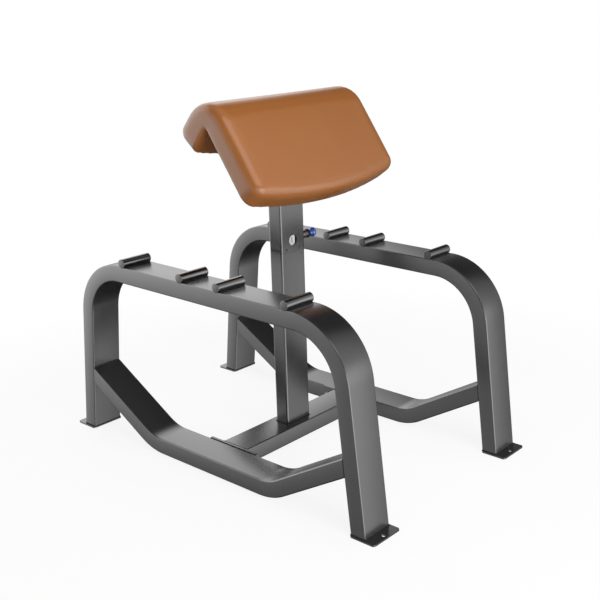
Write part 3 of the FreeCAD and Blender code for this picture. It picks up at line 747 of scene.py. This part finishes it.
def roundedLoop(corners, radii, bulges, arcSteps=10, runSteps=12):
    # closed outline: an arc at each corner, then the run to the next one, swollen outward by a parabola
    before = np.roll(corners, 1, 1) - corners
    after = np.roll(corners, -1, 1) - corners
    before /= np.linalg.norm(before, axis=-1, keepdims=True)
    after /= np.linalg.norm(after, axis=-1, keepdims=True)
    half = np.arccos(np.clip((before * after).sum(-1), -1, 1)) / 2
    middle = before + after
    middle /= np.linalg.norm(middle, axis=-1, keepdims=True)
    centre = corners + middle * (radii / np.sin(half))[..., None]
    reach = (radii / np.tan(half))[..., None]
    first = corners + before * reach - centre
    last = corners + after * reach - centre
    share = np.linspace(0, 1, arcSteps + 1)[:, None]
    span = (np.pi - 2 * half)[..., None, None]
    arc = np.sin((1 - share) * span) * first[:, :, None] + np.sin(share * span) * last[:, :, None]
    arc = arc / np.sin(span) + centre[:, :, None]
    start = arc[:, :, -1:]
    stop = np.roll(arc[:, :, :1], -1, 1)
    share = np.linspace(0, 1, runSteps + 2)[1:-1, None]
    out = np.stack([after[..., 1], -after[..., 0]], -1)[:, :, None]
    run = start + share * (stop - start) + out * bulges[..., None, None] * 4 * share * (1 - share)
    return np.concatenate([arc, run], 2).reshape(len(corners), -1, 2)


def padForm(inset, flatSteps=40, endSteps=8):
    # sections of an inverted V from end to end; near the ends each one draws in along a quarter circle
    half = padSize["width"] / 2
    flat = half - padSize["edge"]
    turn = np.linspace(0, np.pi / 2, endSteps + 1)[1:]
    ending = flat + (padSize["edge"] - inset) * np.sin(turn)
    rising = np.concatenate([np.linspace(0, flat, flatSteps), ending])
    drawing = np.concatenate([np.zeros(flatSteps), 1 - np.cos(turn)])
    x = np.concatenate([-rising[:0:-1], rising])
    shrink = np.concatenate([drawing[:0:-1], drawing])
    middle = 1 - (x / half) ** 2
    outerIn = padSize["edge"] * shrink + inset * (1 - shrink)
    underIn = padSize["under"] * shrink + padSoft["base"] * (1 - shrink)
    top = padSize["thick"] - outerIn
    frontEnd = padSize["front"] + padSize["frontBow"] * middle - outerIn
    rearEnd = padSize["rear"] + padSize["rearBow"] * middle - outerIn
    corners = np.stack([
        padMeeting(underIn), onSlope("rear", rearEnd, underIn), onSlope("rear", rearEnd, top),
        padMeeting(top), onSlope("front", frontEnd, top), onSlope("front", frontEnd, underIn)], 1)
    edge = padSize["edge"] + (padSize["endEdge"] - padSize["edge"]) * shrink - inset
    under = padSize["under"] + (padSize["endUnder"] - padSize["under"]) * shrink
    fold = np.full(len(x), padSize["fold"])
    radii = np.stack([fold, under, edge, padSize["ridge"] - outerIn, edge, under], 1)
    none = np.zeros(len(x))
    rearCrown = padSize["rearCrown"] * middle
    frontCrown = padSize["frontCrown"] * middle
    bulges = np.stack([none, none, rearCrown, frontCrown, none, none], 1)
    loop = roundedLoop(corners, radii, bulges)
    return np.concatenate([np.broadcast_to(x[:, None, None], loop.shape[:2] + (1,)), loop], -1)


def overUnderside(points):
    # height out of the underside of the slope that a point lies over
    flat = points[:, 1:] - padApex
    return np.maximum(flat @ slopeAxes("front")[1], flat @ slopeAxes("rear")[1])


def swellPad(piece):
    # cloth filled by pressure with its underside held on the boards; each point's move is evened out with
    # its neighbours' moves, and its length levels off at the swell like a hyperbolic tangent
    rest = getPoints(piece.data)
    free = overUnderside(rest) > padSoft["base"] + padSoft["held"]
    group = piece.vertex_groups.new(name="held")
    group.add(np.flatnonzero(~free).tolist(), 1.0, "REPLACE")
    cloth = piece.modifiers.new("swell", "CLOTH")
    cloth.settings.use_pressure = True
    cloth.settings.uniform_pressure_force = padSoft["pressure"]
    cloth.settings.tension_stiffness = padSoft["stretch"]
    cloth.settings.compression_stiffness = padSoft["stretch"]
    cloth.settings.shear_stiffness = padSoft["shear"]
    cloth.settings.bending_stiffness = padSoft["bend"]
    cloth.settings.vertex_group_mass = "held"
    cloth.settings.effector_weights.gravity = 0
    cloth.point_cache.frame_start = 1
    cloth.point_cache.frame_end = padSoft["frames"]
    for number in range(1, padSoft["frames"] + 1):
        bpy.context.scene.frame_set(number)
    moved = getPoints(piece.evaluated_get(bpy.context.evaluated_depsgraph_get()).data) - rest
    edges = np.empty(len(piece.data.edges) * 2, np.int32)
    piece.data.edges.foreach_get("vertices", edges)
    edges = edges.reshape(-1, 2)
    here, there = np.concatenate([edges, edges[:, ::-1]]).T
    shares = np.bincount(here, minlength=len(rest))[:, None]
    for turn in range(padSoft["evened"]):
        around = np.column_stack([np.bincount(here, moved[there, i], len(rest)) for i in range(3)])
        moved = (moved + around / shares) / 2 * free[:, None]
    length = np.maximum(np.linalg.norm(moved, axis=1, keepdims=True), 1e-9)
    print("pad swell: most %.4f m, mean %.4f m" % (length.max(), length.mean()))
    moved *= padSoft["swell"] * np.tanh(length / padSoft["swell"]) / length
    piece.modifiers.remove(cloth)
    piece.vertex_groups.clear()
    bpy.context.scene.frame_set(1)
    piece.data.vertices.foreach_set("co", (rest + moved).astype(np.float32).ravel())


def upholsteredPad():
    shape = closedGrid(padForm(padSoft["start"]))
    form = addPiece("padUpholstery", shape, vinyl, "pad_carriage", crease=180)
    remesh = form.modifiers.new("even", "REMESH")
    remesh.mode = "VOXEL"
    remesh.voxel_size = padSoft["voxel"]
    remesh.use_smooth_shade = True
    even = bpy.data.meshes.new_from_object(form.evaluated_get(bpy.context.evaluated_depsgraph_get()))
    form.modifiers.remove(remesh)
    form.data = even
    even.materials.clear()
    even.materials.append(vinyl)
    swellPad(form)
    smoother = form.modifiers.new("smoother", "SUBSURF")
    smoother.levels = 1
    smoother.render_levels = 1
    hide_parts("pad_foam", "pad_cover")
    return form


pad = upholsteredPad()
print("pad made:", len(pad.data.vertices), "points before smoothing")


# vinyl backing under the boards, and its staples

backingSize = {"inset": 0.022, "top": 0.007, "thick": 0.0012, "corner": 0.012, "hem": 0.0008, "sunk": 0.0004}
stapleSize = {"length": 0.0100, "width": 0.0013, "height": 0.0007, "edge": 0.006, "pitch": 0.040,
              "first": 0.02, "clear": 0.008, "round": 0.45, "sunk": 0.4, "crown": 0.46}


def onUnderside(slope, x, distance, height):
    return np.concatenate([x[..., None], onSlope(slope, distance, height)], -1)


def backingPanel(slope):
    # rounded rectangle laid on the slope's underside, its lower ring drawn in by the hem
    half = padSize["width"] / 2 - backingSize["inset"]
    low = padSize[slope] - backingSize["inset"]
    hem = backingSize["hem"]
    rings = []
    for height, drawn in ((backingSize["sunk"], 0), (hem - backingSize["thick"], 0),
                          (-backingSize["thick"], hem)):
        length = low - backingSize["top"] - 2 * drawn
        ring = roundedSection(2 * (half - drawn), length, backingSize["corner"] - drawn)
        down = ring[:, 1] + (low + backingSize["top"]) / 2
        rings.append(onUnderside(slope, ring[:, 0], down, np.full(len(ring), height)))
    return closedGrid(np.stack(rings))


def panelStaples(slope):
    # staples side by side along the panel's border, left out where the bracket covers them
    half = padSize["width"] / 2 - backingSize["inset"] - stapleSize["edge"]
    high = backingSize["top"] + stapleSize["edge"]
    low = padSize[slope] - backingSize["inset"] - stapleSize["edge"]
    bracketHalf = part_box("pad_bracket")[1].x + stapleSize["clear"]
    first = stapleSize["first"]
    across = np.linspace(-half + first, half - first, int(2 * half / stapleSize["pitch"]))
    along = np.linspace(high + first, low - first, max(2, int((low - high) / stapleSize["pitch"])))
    spots = [(x, high, 0) for x in across if abs(x) > bracketHalf] + [(x, low, 0) for x in across]
    spots += [(x, down, 1) for x in (-half, half) for down in along]
    tall = stapleSize["height"]
    bar = roundedSection(stapleSize["width"], tall, tall * stapleSize["round"], 2)
    reach = np.array([-0.5, -stapleSize["crown"], stapleSize["crown"], 0.5]) * stapleSize["length"]
    drop = np.array([1.0, 0, 0, 1.0]) * tall
    long = reach[:, None] + 0 * bar[:, 0]
    wide = bar[:, 0] + 0 * long
    thick = -backingSize["thick"] - tall * stapleSize["sunk"] + bar[:, 1] + drop[:, None]
    staples = []
    for x, down, upright in spots:
        aside, below = (wide, long) if upright else (long, wide)
        staples.append(closedGrid(onUnderside(slope, x + aside, down + below, thick)))
    return staples


def padBacking():
    for slope in ("front", "rear"):
        panel = addPiece(slope + "Backing", backingPanel(slope), vinyl, "pad_carriage")
    staples = panelStaples("front") + panelStaples("rear")
    addPiece("backingStaples", joined(staples), zinc, "pad_carriage")
    return len(staples)


print("backing made with", padBacking(), "staples")


# floor, light and camera

studio = {"floor": 14.0, "shadow": 0.11, "shadowReach": (0.9, 1.8), "paint": (0.75, 0.95), "fill": 0.12,
          "aimHeight": 0.7}
# in degrees: each height and its light, then the two sides and the two edges of every panel and flag, each
# with how soft it is
room = {"levels": ((-90, 0.08), (-45, 0.10), (-28, 0.38), (-12, 0.40), (8, 0.20),
                   (25, 0.08), (42, 0.03), (50, 0.04), (58, 0.10), (90, 0.11)),
        "panels": (
            {"turn": ((39, 8), (130, 14)), "rise": ((-20, 10), (48, 9)), "strength": 1.42},
            {"turn": ((104, 14), (163, 9)), "rise": ((-12, 8), (30, 12)), "strength": 0.52},
            {"turn": ((-148, 9), (-39, 8)), "rise": ((-18, 17), (10, 9)), "strength": 1.10},
            {"turn": ((-126, 8), (-80, 12)), "rise": ((-42, 8), (8, 6)), "strength": 1.10},
            {"turn": ((-152, 7), (-75, 22)), "rise": ((34, 8), (60, 8)), "strength": 1.42},
            {"turn": ((-75, 12), (-15, 4)), "rise": ((5, 10), (52, 8)), "strength": 0.25},
            {"turn": ((-75, 12), (-33, 9)), "rise": ((5, 10), (52, 8)), "strength": 0.25},
            {"turn": ((-90, 15), (-47, 5)), "rise": ((-42, 6), (-18, 8)), "strength": 0.40}),
        "flags": (
            {"turn": ((-22, 10), (72, 16)), "rise": ((-62, 8), (8, 6)), "depth": 0.65},)}


def rayKinds(shade):
    # one for a ray from the camera, off a glossy surface, or through a clear one
    return [shade.add("ShaderNodeLightPath", out=kind)
            for kind in ("Is Camera Ray", "Is Glossy Ray", "Is Transmission Ray")]


def studioFloor():
    # plain white that shows only a faint shadow near the bench, and ordinary paint for bounced light
    material, shade = newFinish("studioFloor")
    camera, gloss, clear = rayKinds(shade)
    here = shade.add("ShaderNodeTexCoord", out="Object")
    away = shade.add("ShaderNodeVectorMath", {"operation": "LENGTH"}, {0: here}, "Value")
    near, far = studio["shadowReach"]
    shown = shade.add("ShaderNodeMapRange", {"interpolation_type": "SMOOTHSTEP"},
                      {"Value": away, "From Min": near, "From Max": far,
                       "To Min": 1 - studio["shadow"], "To Max": 1.0})
    seen = (camera + gloss + clear) * shown
    bounce, pale = studio["paint"]
    paint = shade.add("ShaderNodeBsdfDiffuse", None, {"Color": shade.mixed(camera, grey(bounce), grey(pale))})
    glow = shade.add("ShaderNodeEmission", None, {"Color": grey(1.0), "Strength": 1.0})
    mixed = shade.add("ShaderNodeMixShader", None, {0: seen, 1: paint, 2: glow})
    shade.add("ShaderNodeOutputMaterial", None, {"Surface": mixed})
    half = studio["floor"] / 2
    mesh = bpy.data.meshes.new("floor")
    corners = [(-half, -half, 0), (half, -half, 0), (half, half, 0), (-half, half, 0)]
    mesh.from_pydata(corners, [], [(0, 1, 2, 3)])
    mesh.materials.append(material)
    floor = bpy.data.objects.new("floor", mesh)
    bpy.context.scene.collection.objects.link(floor)
    floor.visible_glossy = False        # reflections come from the room on the world


def softStep(shade, angle, edge, soft):
    # nothing before an edge and one after it, in degrees, with a soft passage to both sides of it
    return shade.add("ShaderNodeMapRange", {"interpolation_type": "SMOOTHSTEP"},
                     {"Value": angle, "From Min": math.radians(edge - soft),
                      "From Max": math.radians(edge + soft)})


def softBand(shade, angle, edges):
    # one between two angles, nothing outside them
    (low, lowSoft), (high, highSoft) = edges
    return softStep(shade, angle, low, lowSoft) * (1 - softStep(shade, angle, high, highSoft))


def studioWorld():
    # white for the camera; in reflections a light that changes with height, a few large soft panels and a
    # flag that darkens it; an even grey for the rest
    world = bpy.data.worlds.new("studio")
    bpy.context.scene.world = world
    world.use_nodes = True
    world.node_tree.nodes.clear()
    shade = Value(world.node_tree)
    camera, gloss, clear = rayKinds(shade)
    direction = shade.add("ShaderNodeTexCoord", out="Generated")
    x, y, z = (shade.add("ShaderNodeSeparateXYZ", None, {0: direction}, i) for i in range(3))
    turn = shade.maths("ARCTAN2", y, x)
    rise = shade.maths("ARCSINE", z, 0)
    height = (rise + math.pi / 2) * (1 / math.pi)
    level = shade.ramp(height, [((place + 90) / 180, grey(light)) for place, light in room["levels"]])
    level = shade.add("ShaderNodeRGBToBW", None, {0: level})
    for panel in room["panels"]:
        lit = panel["strength"] * softBand(shade, turn, panel["turn"])
        level = level + lit * softBand(shade, rise, panel["rise"])
    for flag in room["flags"]:
        shut = softBand(shade, turn, flag["turn"]) * softBand(shade, rise, flag["rise"])
        level = level * (1 - flag["depth"] * shut)
    seenRoom = shade.add("ShaderNodeCombineColor", None, {0: level, 1: level, 2: level})
    inside = shade.mixed(gloss + clear, grey(studio["fill"]), seenRoom)
    seen = shade.mixed(camera, inside, grey(1.0))
    back = shade.add("ShaderNodeBackground", None, {"Color": seen, "Strength": 1.0})
    shade.add("ShaderNodeOutputWorld", None, {"Surface": back})


lampSet = {
    "key": {"place": (-0.9, -3.3, 1.5), "size": 2.0, "power": 98},
    "top": {"place": (0.0, 0.2, 4.2), "size": 3.0, "power": 70},
    "left": {"place": (-4.0, 0.4, 2.2), "size": 2.2, "power": 10},
    "back": {"place": (0.8, 3.4, 2.0), "size": 2.2, "power": 26},
}


def softLamp(name, place, size, power):
    lamp = bpy.data.lights.new(name, "AREA")
    lamp.size = size
    lamp.energy = power
    holder = bpy.data.objects.new(name, lamp)
    bpy.context.scene.collection.objects.link(holder)
    away = Vector(place) - Vector((0, 0, studio["aimHeight"]))
    holder.location = place
    holder.rotation_euler = away.to_track_quat("Z", "Y").to_euler()
    holder.visible_glossy = False        # reflections come from the room on the world
    holder.visible_camera = False


# turns in degrees, focal length and centre in pixels, sensor in millimetres
photoCamera = {"place": (-2.0981, -2.0304, 1.3660), "heading": -50.780, "pitch": 17.485, "roll": 0.567,
               "focal": 1002.2, "centre": (370, 298.5), "image": 600, "sensor": 36}


def addCamera():
    view = photoCamera
    data = bpy.data.cameras.new("photoCamera")
    data.sensor_width = view["sensor"]
    data.lens = view["focal"] * view["sensor"] / view["image"]
    data.shift_x = (view["image"] / 2 - view["centre"][0]) / view["image"]
    data.shift_y = (view["centre"][1] - view["image"] / 2) / view["image"]
    camera = bpy.data.objects.new("photoCamera", data)
    bpy.context.scene.collection.objects.link(camera)
    turn = (Matrix.Rotation(math.radians(view["heading"]), 4, "Z")
            @ Matrix.Rotation(math.radians(90 - view["pitch"]), 4, "X")
            @ Matrix.Rotation(-math.radians(view["roll"]), 4, "Z"))
    camera.matrix_world = Matrix.Translation(view["place"]) @ turn
    bpy.context.scene.camera = camera


studioFloor()
studioWorld()
for name, lamp in lampSet.items():
    softLamp(name, **lamp)
addCamera()
bpy.context.scene.view_settings.view_transform = "Standard"
print("studio made")
